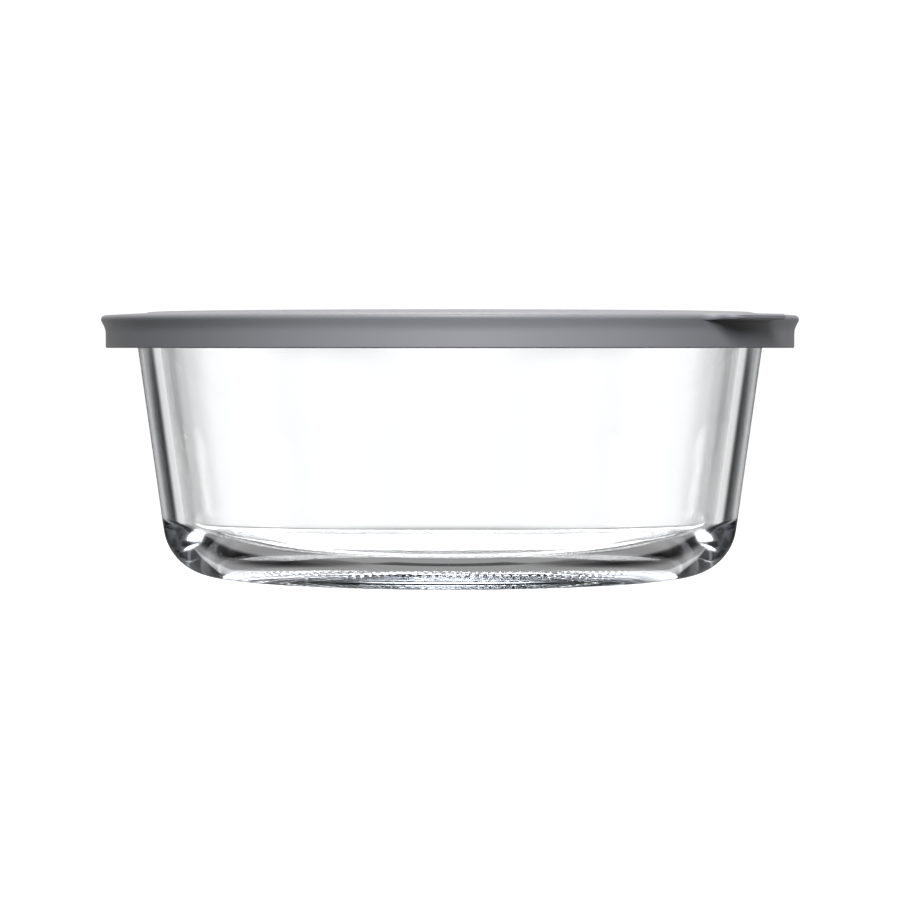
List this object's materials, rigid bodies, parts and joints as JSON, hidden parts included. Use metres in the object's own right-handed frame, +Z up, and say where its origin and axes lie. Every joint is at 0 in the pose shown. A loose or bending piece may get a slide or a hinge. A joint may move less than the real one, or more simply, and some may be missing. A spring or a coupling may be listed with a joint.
{
  "type": "glass storage container",
  "caption": "Round clear glass food storage bowl with gently flared walls and a thick rounded base, closed by a grey press-on plastic lid with a rim bead and pull tab.",
  "frame": {"origin": "centre of the foot ring, on the surface the bowl stands on", "axes": "+Z up along the bowl's axis, the pictured side faces -Y, and the lid's pull tab points between +X and -Y"},
  "size_m": [0.2, 0.2, 0.0752],
  "materials": {
    "glass": "clear polished soda-lime glass",
    "lid_plastic": "satin grey soft polyethylene, fine moulded grain"
  },
  "bodies": {
    "bowl": {"glass_bowl": "glass"},
    "lid": {"lid": "lid_plastic"}
  },
  "joints": [
    {"name": "lid_lift", "type": "slide", "parent": "bowl", "child": "lid", "axis": [0, 0, 1], "range_m": [0, 0.09]}
  ]
}
